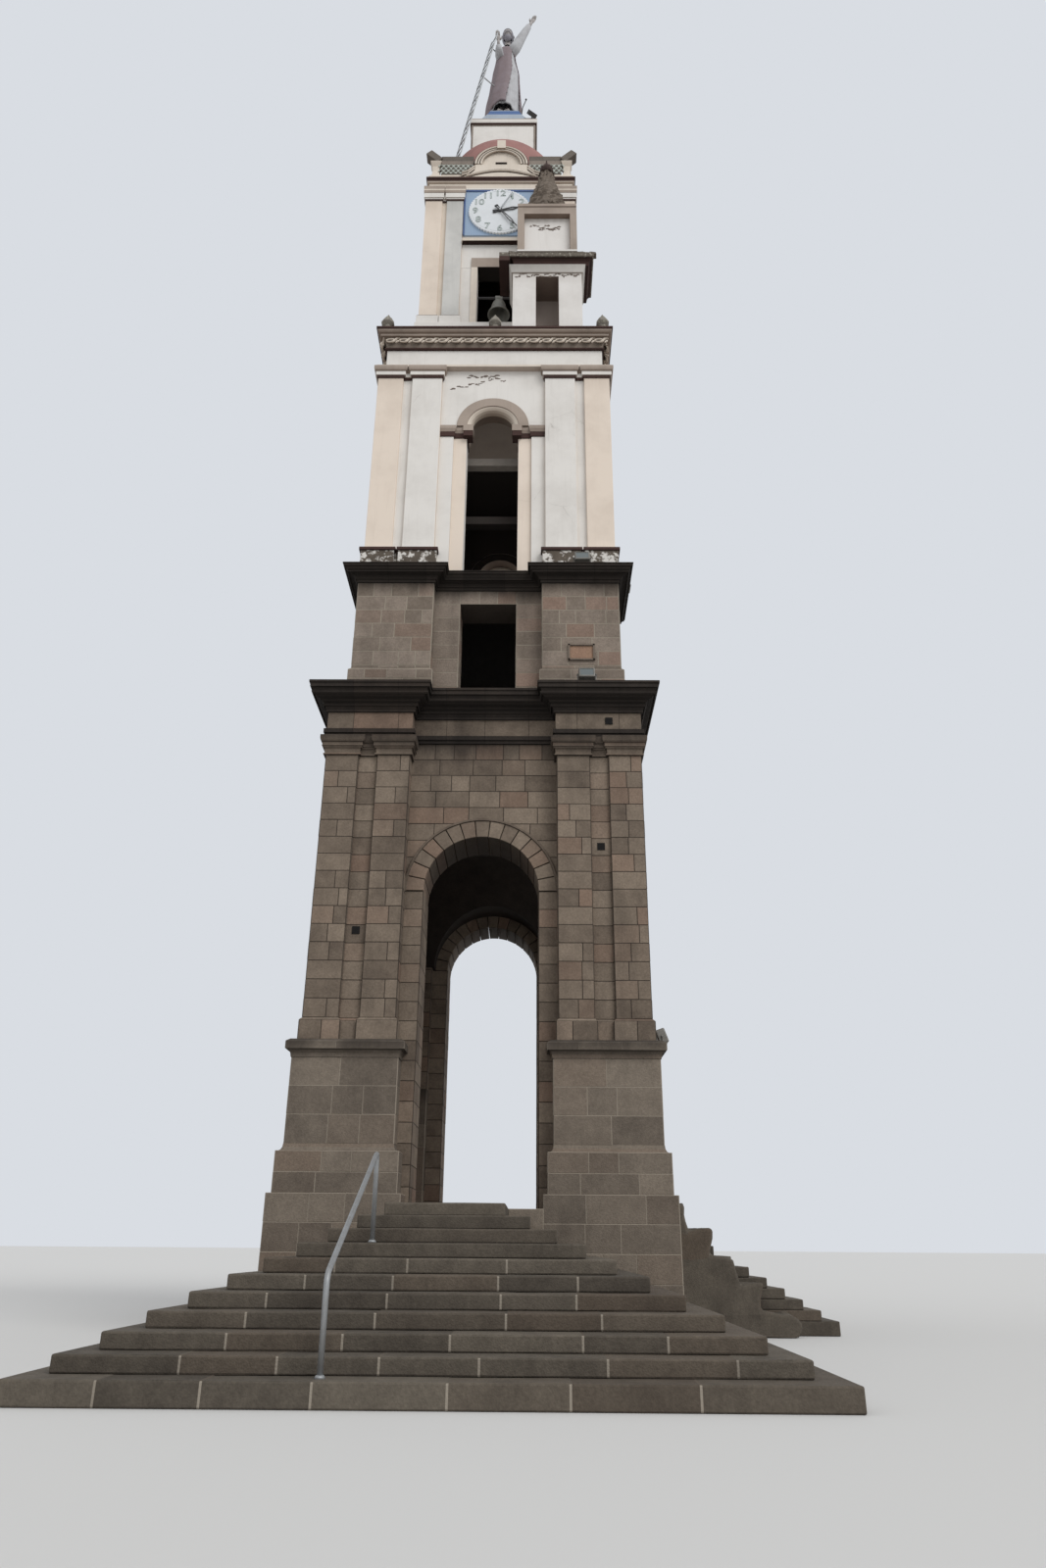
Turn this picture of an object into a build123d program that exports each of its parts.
from build123d import *

import os
from math import acos, atan2, cos, degrees, radians, sin

# A church bell tower, in millimetres. The origin is on the ground under the middle of the tower, +Z is up.
# The end sides face -Y and +Y and hold the passage arches, and the square side of the town faces +X.

# Stairs up to the passage floor
FLOOR_Z = 1800
RISERS = 11
FIRST_RISE = 220
END_TREAD = 403
END_BOTTOM_HALF = 3740
END_LANDING_RIGHT = 550
END_LANDING_LEFT = 990
END_LANDING_DEPTH = 2300
SIDE_TREAD = 280
SIDE_STAIR_HALF = 1500
CHEEK_WIDTH = 450
CHEEK_STEPS = 4
CHEEK_LENGTH = 1900
CHEEK_TOP = 1980
CHEEK_END_HEIGHT = 380

# Handrail on the end stair
RAIL_RADIUS = 28
RAIL_X = -980
RAIL_POST_HEIGHT = 830
RAIL_TOP_CLEAR = 1000
RAIL_LENGTH_TREADS = 7

# Stage one: four piers with arches between, outer faces of the shafts
HALF_X = 2810
HALF_Y = 3600
PIER = 1500
WALL_RECESS = 300
WALL_THICK = 900
FOOT_GROW = 250
PLINTH_GROW = 185
DIE_GROW = 90
BASE_GROW = 40
FOOT_RISE = 200
PLINTH_HEIGHT = 600
DIE_HEIGHT = 1400
PEDESTAL_CAP_HEIGHT = 280
BASE_HEIGHT = 360
SHAFT_HEIGHT = 4660
CAPITAL_HEIGHT = 360
STRIP = 340
STRIP_DEPTH = 70
SPRING_HEIGHT = 5060
END_ARCH_RADIUS = 990
SIDE_ARCH_RADIUS = 1780
RING = 300
RING_PROUD = 30
END_VOUSSOIRS = 15
SIDE_VOUSSOIRS = 23
MORTAR = 12
VAULT_LEDGE = 60
INFILL_THICK = 300
ENTABLATURE_HEIGHT = 990
CORNICE_REACH = 330

# Attic
ATTIC_HALF_X = 2530
ATTIC_HALF_Y = 3400
ATTIC_PIER = 1480
ATTIC_RECESS = 280
ATTIC_WALL = 700
ATTIC_PLINTH_HEIGHT = 550
ATTIC_WALL_HEIGHT = 2450
ATTIC_CORNICE_HEIGHT = 300
ATTIC_CORNICE_REACH = 260
WINDOW_HALF = 550
WINDOW_SILL_HEIGHT = 250
WINDOW_HEIGHT = 1900

# Belfry
BELFRY_HALF_X = 2520
BELFRY_HALF_Y = 3130
BELFRY_PIER = 1400
BELFRY_STRIP = 200
BELFRY_STRIP_OFFSET = 50
BELFRY_STRIP_DEPTH = 80
BELFRY_RECESS = 100
BELFRY_WALL = 500
BELFRY_PLINTH_HEIGHT = 700
BELFRY_SHAFT_HEIGHT = 4520
BELFRY_CAPITAL_HEIGHT = 300
BELFRY_FRIEZE_HEIGHT = 630
BELFRY_HOLLOW_HEIGHT = 300
BELFRY_CORNICE_HEIGHT = 200
BELFRY_FRIEZE_SETBACK = 130
BELFRY_CORNICE_REACH = 110
BELFRY_SPRING_HEIGHT = 3960
BELFRY_END_OPENING = 550
BELFRY_SIDE_OPENING = 850
BELFRY_JAMB = 280
JAMB_SETBACK = 60
ARCHIVOLT = 220
IMPOST_DEPTH = 280
IMPOST_GROW = 50
BEAM = 200
BEAM_RISES = (2150, 3720)
BEAM_SETBACK = 220

# Terrace finials and turrets
FINIAL_RADIUS = 150
FINIAL_HEIGHT = 560
FINIAL_INSET = 60
TURRET_X = 1180
TURRET_FRONT = 2960
KIOSK_HALF = 800
KIOSK_HEIGHT = 2150
KIOSK_NICHE_HALF = 260
KIOSK_NICHE_DEPTH = 700
KIOSK_SILL_HEIGHT = 150
KIOSK_NICHE_HEIGHT = 1700
KIOSK_CORNICE = 300
KIOSK_CORNICE_REACH = 160
KIOSK_CORNICE_RIGHT = 120
KIOSK_CORNICE_LEFT = 60
TURRET_BLOCK_HALF = 540
TURRET_BLOCK_DEPTH = 1000
TURRET_BLOCK_HEIGHT = 2200
TURRET_CAP = 200
CONE_RADIUS = 590
CONE_NECK = 140
CONE_HEIGHT = 1750
BALL_RADIUS = 170
SPIKE_HEIGHT = 500

# Clock stage
CLOCK_HALF_X = 1920
CLOCK_HALF_Y = 1850
CLOCK_PIER = 970
CLOCK_STRIP = 120
CLOCK_STRIP_OFFSET = -5
CLOCK_STRIP_DEPTH = 60
CLOCK_RECESS = 80
CLOCK_WALL = 400
CLOCK_PLINTH_GROW = 80
CLOCK_PLINTH_HEIGHT = 1550
BELL_FLOOR_THICK = 150
CLOCK_BASE_HEIGHT = 300
CLOCK_SHAFT_HEIGHT = 4000
CLOCK_CAPITAL_HEIGHT = 500
CLOCK_CORNICE_HEIGHT = 400
CLOCK_FRIEZE_SETBACK = 60
CLOCK_CORNICE_REACH = 20
BELL_OPENING_HALF = 530
BELL_OPENING_HEIGHT = 1980
FRAME_WIDTH = 160
FRAME_HEAD = 320
FRAME_PROUD = 40
LEDGE_RISE = 820
LEDGE_HEIGHT = 100
LEDGE_PROUD = 130
PANEL_RISE = 200
PANEL_HEIGHT = 1640
PANEL_HALF = 935
PANEL_THICK = 40
DIAL_RADIUS = 810
DIAL_THICK = 50

# Hands, in front of the dial
SPINDLE_RADIUS = 20
BORE_CLEARANCE = 0.3
HAND_THICK = 16
HAND_GAP = 12
MINUTE_LENGTH = 700
HOUR_LENGTH = 500
HAND_TAIL = 190
HUB_RADIUS = 55
MINUTE_ANGLE = 144
HOUR_ANGLE = 76

# Bell
BELL_RADIUS = 275
BELL_HEIGHT = 430
BELL_WALL = 28
BELL_SETBACK = 350
BELL_BAR_HEIGHT = 1350
BELL_BAR_RADIUS = 30
CROWN_HEIGHT = 150

# Parapet and its ornaments
POST = 300
PARAPET_THICK = 150
PARAPET_SETBACK = 40
PARAPET_PANEL_SETBACK = 60
PARAPET_HEIGHT = 860
PEDIMENT_RADIUS = 690
PEDIMENT_BASE_HALF = 1030
PEDIMENT_RISE = 550
PEDIMENT_THICK = 120
SCROLL_TILT = 38
SCROLL_SIZE = (400, 460, 200)

# Dome and statue
DOME_RADIUS = 1680
DOME_HEIGHT = 3300
DOME_WALL = 180
DOME_CROWN = 500
PEDESTAL_HALF = 890
PEDESTAL_RISE = 2100
PEDESTAL_HEIGHT = 1350
STATUE_CORNICE_HEIGHT = 200
STATUE_BASE_HALF = 620
STATUE_BASE_TOP_HALF = 440
STATUE_BASE_HEIGHT = 1050
STATUE_HEIGHT = 4400
HEAD_HALF = 290
HEAD_X = 40
ARM_REACH = 900
ARM_RISE = 850

# Ladder
LADDER_WIDTH = 350
LADDER_BAR = 26
LADDER_FOOT_X = -1575
LADDER_FOOT_Y = -1200
LADDER_HEAD_X = -450
LADDER_HEAD_Y = -420
LADDER_HEAD_DROP = 1150
LADDER_RUNGS = 23
STRUT_RISES = (1400, 3000)

# Floodlights
LAMP = (300, 220, 260)


def block(x0, x1, y0, y1, z0, z1):
    """A plain block between two corners."""
    middle = Pos((x0 + x1) / 2, (y0 + y1) / 2, (z0 + z1) / 2)
    return middle * Box(abs(x1 - x0), abs(y1 - y0), abs(z1 - z0))


def rectangle(x0, x1, y0, y1):
    """Corner points of a rectangle, anticlockwise."""
    return [(x0, y0), (x1, y0), (x1, y1), (x0, y1)]


def grown(outline, amount):
    """A square-cornered anticlockwise outline with every side moved out by amount."""
    moved = []
    for i, (x, y) in enumerate(outline):
        before = outline[i - 1]
        after = outline[(i + 1) % len(outline)]
        into = Vector(x - before[0], y - before[1]).normalized()
        away = Vector(after[0] - x, after[1] - y).normalized()
        moved.append((x + amount * (into.Y + away.Y), y - amount * (into.X + away.X)))
    return moved


def moulded(outline, profile):
    """A moulded course: the outline grown to each (level, projection) of the profile in turn."""
    bands = []
    for (low, low_grow), (high, high_grow) in zip(profile, profile[1:]):
        if high > low:
            wires = []
            for level, grow in ((low, low_grow), (high, high_grow)):
                corners = [(x, y, level) for x, y in grown(outline, grow)]
                wires.append(Polyline(corners, close=True).wire())
            bands.append(Solid.make_loft(wires, True))
    return bands[0] + bands[1:] if len(bands) > 1 else bands[0]


def ovolo(low, high, inner, outer, steps=3):
    """Points of a quarter-round moulding that swells outwards as it rises."""
    points = []
    for i in range(steps + 1):
        turn = radians(90 * i / steps)
        points.append((low + (high - low) * (1 - cos(turn)), inner + (outer - inner) * sin(turn)))
    return points


def cove(low, high, inner, outer, steps=3):
    """Points of a hollow moulding that flares outwards as it rises."""
    points = []
    for i in range(steps + 1):
        turn = radians(90 * i / steps)
        points.append((low + (high - low) * sin(turn), inner + (outer - inner) * (1 - cos(turn))))
    return points


def pier_outline(half_x, half_y, size, strip, strip_depth, strip_offset=0):
    """Plan of the +X +Y corner pier, with a recessed strip between its two pilasters on each outer face."""
    x0, y0 = half_x - size, half_y - size
    middle_x = x0 + size / 2 + strip_offset
    middle_y = y0 + size / 2 + strip_offset
    return [
        (x0, y0),
        (half_x, y0),
        (half_x, middle_y - strip / 2),
        (half_x - strip_depth, middle_y - strip / 2),
        (half_x - strip_depth, middle_y + strip / 2),
        (half_x, middle_y + strip / 2),
        (half_x, half_y),
        (middle_x + strip / 2, half_y),
        (middle_x + strip / 2, half_y - strip_depth),
        (middle_x - strip / 2, half_y - strip_depth),
        (middle_x - strip / 2, half_y),
        (x0, half_y),
    ]


def broken_outline(half_x, half_y, size, recess):
    """Plan of a whole stage whose corners stand forward of the walls between them."""
    x0, y0 = half_x - size, half_y - size
    corner = [(half_x, y0), (half_x, half_y), (x0, half_y), (x0, half_y - recess)]
    first = [(half_x - recess, -y0), (half_x - recess, y0)]
    quarter = first[1:] + corner
    other = [(-x, y) for x, y in reversed(quarter)]
    upper = quarter + other
    return upper + [(-x, -y) for x, y in upper]


def four_corners(piece):
    """The +X +Y corner piece and its mirror images at the other three corners."""
    back = [piece, mirror(piece, Plane.YZ)]
    return back + [mirror(item, Plane.XZ) for item in back]


def end_pair(piece):
    """A piece of the -Y side and its mirror image on the +Y side."""
    return [piece, mirror(piece, Plane.XZ)]


def side_pair(piece):
    """A piece of the +X side and its mirror image on the -X side."""
    return [piece, mirror(piece, Plane.YZ)]


def core(half_x, half_y, size, recess, top):
    """The walls and rooms between the corner piers of a stage, as one cross-shaped block."""
    x0, y0 = half_x - size, half_y - size
    lengthways = block(-x0, x0, recess - half_y, half_y - recess, 0, top)
    crossways = block(recess - half_x, half_x - recess, -y0, y0, 0, top)
    return lengthways + crossways


def half_round(radius, length, axis, z):
    """A lying half cylinder or more exactly a whole one, for cutting arches. It runs along X or Y."""
    turn = Rot(0, 90, 0) if axis == "X" else Rot(90, 0, 0)
    return Pos(0, 0, z) * turn * Cylinder(radius, length)


def save(name, solids):
    """Writes the solids of one node."""
    listed = [solid for piece in solids for solid in piece.solids()]
    export_step(Compound(children=listed, label=name), f"parts/{name}.step")


os.makedirs("parts", exist_ok=True)

# Levels above the ground, each from the one that it stands on
FOOT_TOP = FLOOR_Z + FOOT_RISE
PLINTH_TOP = FOOT_TOP + PLINTH_HEIGHT
DIE_TOP = PLINTH_TOP + DIE_HEIGHT
PEDESTAL_TOP = DIE_TOP + PEDESTAL_CAP_HEIGHT
BASE_TOP = PEDESTAL_TOP + BASE_HEIGHT
SHAFT_TOP = BASE_TOP + SHAFT_HEIGHT
WALL_TOP = SHAFT_TOP + CAPITAL_HEIGHT
SPRING_Z = FLOOR_Z + SPRING_HEIGHT
ENTABLATURE_TOP = WALL_TOP + ENTABLATURE_HEIGHT
ATTIC_PLINTH_TOP = ENTABLATURE_TOP + ATTIC_PLINTH_HEIGHT
ATTIC_WALL_TOP = ENTABLATURE_TOP + ATTIC_WALL_HEIGHT
ATTIC_TOP = ATTIC_WALL_TOP + ATTIC_CORNICE_HEIGHT
WINDOW_SILL = ENTABLATURE_TOP + WINDOW_SILL_HEIGHT
WINDOW_HEAD = WINDOW_SILL + WINDOW_HEIGHT
BELFRY_PLINTH_TOP = ATTIC_TOP + BELFRY_PLINTH_HEIGHT
BELFRY_SHAFT_TOP = BELFRY_PLINTH_TOP + BELFRY_SHAFT_HEIGHT
BELFRY_WALL_TOP = BELFRY_SHAFT_TOP + BELFRY_CAPITAL_HEIGHT
BELFRY_FRIEZE_TOP = BELFRY_WALL_TOP + BELFRY_FRIEZE_HEIGHT
BELFRY_HOLLOW_TOP = BELFRY_FRIEZE_TOP + BELFRY_HOLLOW_HEIGHT
BELFRY_TOP = BELFRY_HOLLOW_TOP + BELFRY_CORNICE_HEIGHT
BELFRY_SPRING = ATTIC_TOP + BELFRY_SPRING_HEIGHT
KIOSK_TOP = BELFRY_TOP + KIOSK_HEIGHT
KIOSK_NICHE_SILL = BELFRY_TOP + KIOSK_SILL_HEIGHT
KIOSK_NICHE_HEAD = KIOSK_NICHE_SILL + KIOSK_NICHE_HEIGHT
TURRET_BLOCK_TOP = KIOSK_TOP + TURRET_BLOCK_HEIGHT
CONE_TOP = TURRET_BLOCK_TOP + CONE_HEIGHT
SPIKE_TOP = CONE_TOP + SPIKE_HEIGHT
CLOCK_FLOOR = BELFRY_TOP + CLOCK_PLINTH_HEIGHT
CLOCK_BASE_TOP = CLOCK_FLOOR + CLOCK_BASE_HEIGHT
CLOCK_SHAFT_TOP = CLOCK_BASE_TOP + CLOCK_SHAFT_HEIGHT
CLOCK_WALL_TOP = CLOCK_SHAFT_TOP + CLOCK_CAPITAL_HEIGHT
CLOCK_TOP = CLOCK_WALL_TOP + CLOCK_CORNICE_HEIGHT
BELL_OPENING_HEAD = CLOCK_FLOOR + BELL_OPENING_HEIGHT
LEDGE_BOTTOM = BELL_OPENING_HEAD + LEDGE_RISE
LEDGE_TOP = LEDGE_BOTTOM + LEDGE_HEIGHT
PANEL_BOTTOM = LEDGE_TOP + PANEL_RISE
PANEL_TOP = PANEL_BOTTOM + PANEL_HEIGHT
BELL_BAR_Z = CLOCK_FLOOR + BELL_BAR_HEIGHT
PARAPET_TOP = CLOCK_TOP + PARAPET_HEIGHT
PEDIMENT_CENTRE = CLOCK_TOP + PEDIMENT_RISE
PEDESTAL_SEAT = CLOCK_TOP + PEDESTAL_RISE
PEDESTAL_CAP = PEDESTAL_SEAT + PEDESTAL_HEIGHT
PEDESTAL_END = PEDESTAL_CAP + STATUE_CORNICE_HEIGHT
STATUE_BASE_TOP = PEDESTAL_END + STATUE_BASE_HEIGHT
STATUE_TOP = STATUE_BASE_TOP + STATUE_HEIGHT
ARM_TOP = STATUE_TOP + ARM_RISE
BEAM_LEVELS = [ATTIC_TOP + rise for rise in BEAM_RISES]
DIAL_Z = (PANEL_BOTTOM + PANEL_TOP) / 2
STRUT_LEVELS = [STATUE_BASE_TOP + rise for rise in STRUT_RISES]
LADDER_HEAD_Z = STATUE_TOP - LADDER_HEAD_DROP

# Faces of the first stage
PIER_X = HALF_X - PIER
PIER_Y = HALF_Y - PIER
FOOT_FACE_X = HALF_X + FOOT_GROW
FOOT_FACE_Y = HALF_Y + FOOT_GROW
WALL_FACE_X = HALF_X - WALL_RECESS
WALL_FACE_Y = HALF_Y - WALL_RECESS
ROOM_X = WALL_FACE_X - WALL_THICK
ROOM_Y = WALL_FACE_Y - WALL_THICK

# Stage one piers: pedestal, shaft with paired pilasters, capital
stage_one = core(HALF_X, HALF_Y, PIER, WALL_RECESS, WALL_TOP)
square_corner = rectangle(PIER_X, HALF_X, PIER_Y, HALF_Y)
pedestal = moulded(
    square_corner,
    [
        (0, FOOT_GROW),
        (FOOT_TOP, FOOT_GROW),
        (FOOT_TOP, PLINTH_GROW),
        (PLINTH_TOP, PLINTH_GROW),
        *ovolo(PLINTH_TOP, PLINTH_TOP + 110, PLINTH_GROW - 30, PLINTH_GROW - 90),
        (PLINTH_TOP + 110, DIE_GROW),
        (DIE_TOP, DIE_GROW),
        *cove(DIE_TOP, DIE_TOP + 120, DIE_GROW + 15, DIE_GROW + 75),
        (DIE_TOP + 120, PLINTH_GROW),
        (PEDESTAL_TOP - 40, PLINTH_GROW),
        (PEDESTAL_TOP, PLINTH_GROW - 60),
    ],
)
pedestal -= stage_one
shaft_plan = pier_outline(HALF_X, HALF_Y, PIER, STRIP, STRIP_DEPTH)
shaft = moulded(
    shaft_plan,
    [
        (PEDESTAL_TOP, BASE_GROW),
        (BASE_TOP - 40, BASE_GROW),
        (BASE_TOP, 0),
        (SHAFT_TOP, 0),
    ],
)
shaft -= stage_one
capital = moulded(
    shaft_plan,
    [
        (SHAFT_TOP, 25),
        (SHAFT_TOP + 60, 25),
        *cove(SHAFT_TOP + 60, SHAFT_TOP + 180, 25, 70),
        (SHAFT_TOP + 230, 70),
        *ovolo(SHAFT_TOP + 230, WALL_TOP - 60, 75, 110),
        (WALL_TOP, 110),
    ],
)
capital -= stage_one
pedestals = four_corners(pedestal)
capitals = four_corners(capital)
save("pier_pedestals", pedestals)
save("pier_shafts", four_corners(shaft))
save("pier_capitals", capitals)

# Podium: the masonry floor of the passages, between the pedestals
podium = block(-FOOT_FACE_X, FOOT_FACE_X, -FOOT_FACE_Y, FOOT_FACE_Y, 0, FLOOR_Z)
for item in pedestals:
    podium -= item
save("podium", [podium])

# Arch jambs, beside each opening, from the floor to the springing
end_jamb = block(END_ARCH_RADIUS, PIER_X, -WALL_FACE_Y, -ROOM_Y, FLOOR_Z, SPRING_Z)
side_jamb = block(ROOM_X, WALL_FACE_X, SIDE_ARCH_RADIUS, PIER_Y, FLOOR_Z, SPRING_Z)
save("arch_jambs", four_corners(end_jamb) + four_corners(side_jamb))

# Spandrels: the wall over each arch, cut to the back of its ring of voussoirs
end_spandrel = block(-PIER_X, PIER_X, -WALL_FACE_Y, -ROOM_Y, SPRING_Z, WALL_TOP)
end_spandrel -= half_round(END_ARCH_RADIUS + RING, 4 * HALF_Y, "Y", SPRING_Z)
side_spandrel = block(ROOM_X, WALL_FACE_X, -PIER_Y, PIER_Y, SPRING_Z, WALL_TOP)
side_spandrel -= half_round(SIDE_ARCH_RADIUS + RING, 4 * HALF_X, "X", SPRING_Z)
save("arch_spandrels", end_pair(end_spandrel) + side_pair(side_spandrel))


def voussoirs(radius, count, depth):
    """The wedge stones of one arch about the local origin, standing in the XZ plane, front face on Y = 0."""
    stones = []
    span = 180 / count
    gap = degrees(MORTAR / radius)
    for i in range(count):
        start = i * span + gap / 2
        end = (i + 1) * span - gap / 2
        inner = [radius * cos(radians(a)) + 1j * radius * sin(radians(a)) for a in (start, (start + end) / 2, end)]
        outer = [point * (radius + RING) / radius for point in inner]
        edges = [
            ThreePointArc(*[(p.real, p.imag) for p in inner]),
            Line((inner[2].real, inner[2].imag), (outer[2].real, outer[2].imag)),
            ThreePointArc(*[(p.real, p.imag) for p in reversed(outer)]),
            Line((outer[0].real, outer[0].imag), (inner[0].real, inner[0].imag)),
        ]
        face = Plane.XZ * make_face(Curve() + edges)
        stones.append(extrude(face, amount=-depth))
    return stones


ring_depth = WALL_THICK + RING_PROUD
ring_front = Pos(0, -WALL_FACE_Y - RING_PROUD, SPRING_Z)
end_ring = [ring_front * stone for stone in voussoirs(END_ARCH_RADIUS, END_VOUSSOIRS, ring_depth)]
side_front = Pos(WALL_FACE_X + RING_PROUD, 0, SPRING_Z) * Rot(0, 0, 90)
side_ring = [side_front * stone for stone in voussoirs(SIDE_ARCH_RADIUS, SIDE_VOUSSOIRS, ring_depth)]
end_stones = [piece for stone in end_ring for piece in end_pair(stone)]
side_stones = [piece for stone in side_ring for piece in side_pair(stone)]
save("arch_voussoirs", end_stones + side_stones)

# Groin vault over the crossing of the two passages, carrying the floor above
vault = block(-ROOM_X, ROOM_X, -PIER_Y, PIER_Y, SPRING_Z, WALL_TOP)
vault += block(-PIER_X, PIER_X, -ROOM_Y, ROOM_Y, SPRING_Z, WALL_TOP)
vault -= half_round(PIER_X - VAULT_LEDGE, 4 * HALF_Y, "Y", SPRING_Z)
vault -= half_round(PIER_Y - VAULT_LEDGE, 4 * HALF_X, "X", SPRING_Z)
save("passage_vault", [vault])

# The arch on the -X side, where the nave stood against the tower, is walled up
infill = block(
    -ROOM_X - INFILL_THICK, -ROOM_X, -SIDE_ARCH_RADIUS, SIDE_ARCH_RADIUS, FLOOR_Z, SPRING_Z
)
arch_head = half_round(SIDE_ARCH_RADIUS, INFILL_THICK, "X", SPRING_Z)
infill += Pos(-ROOM_X - INFILL_THICK / 2, 0, 0) * arch_head
save("left_arch_infill", [infill])

# Entablature of stage one: architrave, frieze and cornice, breaking forward over the piers
stage_plan = broken_outline(HALF_X, HALF_Y, PIER, WALL_RECESS)
entablature = moulded(
    stage_plan,
    [
        (WALL_TOP, 40),
        (WALL_TOP + 60, 40),
        (WALL_TOP + 60, 70),
        (WALL_TOP + 140, 70),
        (WALL_TOP + 140, 20),
        (WALL_TOP + 480, 20),
        (WALL_TOP + 480, 60),
        (WALL_TOP + 540, 60),
        *cove(WALL_TOP + 540, WALL_TOP + 660, 70, 130),
        (WALL_TOP + 690, 150),
        *ovolo(WALL_TOP + 690, WALL_TOP + 860, 160, CORNICE_REACH - 40),
        (WALL_TOP + 860, CORNICE_REACH),
        (ENTABLATURE_TOP, CORNICE_REACH),
    ],
)
save("lower_entablature", [entablature])


# Stairs: stacked slabs, every other one in a node of its own so that no two in a node touch
def flight_level(step):
    """Height of the top of a step, counted from the lowest as 1."""
    return FIRST_RISE + (FLOOR_Z - FIRST_RISE) * (step - 1) / (RISERS - 1)


end_steps = []
side_steps = []
for step in range(1, RISERS + 1):
    top = flight_level(step)
    bottom = flight_level(step - 1) if step > 1 else 0
    share = (RISERS - step) / (RISERS - 1)
    right = END_LANDING_RIGHT + (END_BOTTOM_HALF - END_LANDING_RIGHT) * share
    left = END_LANDING_LEFT + (END_BOTTOM_HALF - END_LANDING_LEFT) * share
    front = FOOT_FACE_Y + END_LANDING_DEPTH + END_TREAD * (RISERS - step)
    end_steps.append(end_pair(block(-left, right, -front, -FOOT_FACE_Y, bottom, top)))
    reach = FOOT_FACE_X + SIDE_TREAD * (RISERS - step)
    if step < RISERS:
        side_steps.append([block(FOOT_FACE_X, reach, -SIDE_STAIR_HALF, SIDE_STAIR_HALF, bottom, top)])
lower = [piece for steps in (end_steps, side_steps) for group in steps[0::2] for piece in group]
upper = [piece for steps in (end_steps, side_steps) for group in steps[1::2] for piece in group]
save("stair_slabs_odd", lower)
save("stair_slabs_even", upper)

# Cheek walls of the +X stair, stepped down and ended by a round stone
cheek_profile = []
drop = (CHEEK_TOP - CHEEK_END_HEIGHT) / CHEEK_STEPS
run = CHEEK_LENGTH / (CHEEK_STEPS + 1)
for i in range(CHEEK_STEPS + 1):
    level = CHEEK_TOP - drop * i
    cheek_profile += [(FOOT_FACE_X + run * i, level), (FOOT_FACE_X + run * (i + 1), level)]
cheek_end = FOOT_FACE_X + CHEEK_LENGTH
cheek_line = Polyline((cheek_end, 0), (FOOT_FACE_X, 0), *cheek_profile, close=True)
cheek = Plane.XZ * make_face(cheek_line)
cheek = Pos(0, -SIDE_STAIR_HALF, 0) * extrude(cheek, amount=CHEEK_WIDTH)
scroll_radius = CHEEK_END_HEIGHT / 2
scroll = Pos(cheek_end, -SIDE_STAIR_HALF - CHEEK_WIDTH / 2, scroll_radius) * Rot(90, 0, 0)
cheek += scroll * Cylinder(scroll_radius, CHEEK_WIDTH)
save("stair_cheeks", end_pair(cheek))

# Handrail of steel tube on the near end stair
rail_foot_y = END_TREAD / 2 - FOOT_FACE_Y - END_LANDING_DEPTH - END_TREAD * (RISERS - 1)
rail_head_y = rail_foot_y + END_TREAD * RAIL_LENGTH_TREADS
rail_foot_z = FIRST_RISE
rail_head_z = flight_level(RAIL_LENGTH_TREADS + 1)
rail_path = FilletPolyline(
    (RAIL_X, rail_foot_y, rail_foot_z),
    (RAIL_X, rail_foot_y, rail_foot_z + RAIL_POST_HEIGHT),
    (RAIL_X, rail_head_y, rail_head_z + RAIL_TOP_CLEAR),
    (RAIL_X, rail_head_y, rail_head_z),
    radius=90,
)
rail_section = Pos(RAIL_X, rail_foot_y, rail_foot_z) * Circle(RAIL_RADIUS)
save("handrail", [sweep(rail_section, path=rail_path)])

# Attic: piers, walls beside the windows, lintels and sills
attic_core = core(ATTIC_HALF_X, ATTIC_HALF_Y, ATTIC_PIER, ATTIC_RECESS, ATTIC_TOP)
attic_x = ATTIC_HALF_X - ATTIC_PIER
attic_y = ATTIC_HALF_Y - ATTIC_PIER
attic_face_x = ATTIC_HALF_X - ATTIC_RECESS
attic_face_y = ATTIC_HALF_Y - ATTIC_RECESS
attic_room_x = attic_face_x - ATTIC_WALL
attic_room_y = attic_face_y - ATTIC_WALL
attic_pier = moulded(
    rectangle(attic_x, ATTIC_HALF_X, attic_y, ATTIC_HALF_Y),
    [
        (ENTABLATURE_TOP, 50),
        (ATTIC_PLINTH_TOP - 50, 50),
        (ATTIC_PLINTH_TOP, 0),
        (ATTIC_WALL_TOP, 0),
    ],
)
save("attic_piers", four_corners(attic_pier - attic_core))
attic_end = (-attic_face_y, -attic_room_y)
attic_side = (attic_room_x, attic_face_x)
end_strip = block(WINDOW_HALF, attic_x, *attic_end, ENTABLATURE_TOP, ATTIC_WALL_TOP)
side_strip = block(*attic_side, WINDOW_HALF, attic_y, ENTABLATURE_TOP, ATTIC_WALL_TOP)
save("attic_walls", four_corners(end_strip) + four_corners(side_strip))
lintels = []
for low, high in ((ENTABLATURE_TOP, WINDOW_SILL), (WINDOW_HEAD, ATTIC_WALL_TOP)):
    lintels += end_pair(block(-WINDOW_HALF, WINDOW_HALF, *attic_end, low, high))
    lintels += side_pair(block(*attic_side, -WINDOW_HALF, WINDOW_HALF, low, high))
save("attic_lintels_and_sills", lintels)
attic_plan = broken_outline(ATTIC_HALF_X, ATTIC_HALF_Y, ATTIC_PIER, ATTIC_RECESS)
attic_cornice = moulded(
    attic_plan,
    [
        (ATTIC_WALL_TOP, 30),
        (ATTIC_WALL_TOP + 60, 30),
        *cove(ATTIC_WALL_TOP + 60, ATTIC_WALL_TOP + 130, 50, 110),
        (ATTIC_WALL_TOP + 150, 110),
        *ovolo(ATTIC_WALL_TOP + 150, ATTIC_TOP - 60, 130, ATTIC_CORNICE_REACH - 30),
        (ATTIC_TOP - 60, ATTIC_CORNICE_REACH),
        (ATTIC_TOP, ATTIC_CORNICE_REACH),
    ],
)
save("attic_cornice", [attic_cornice])

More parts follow.
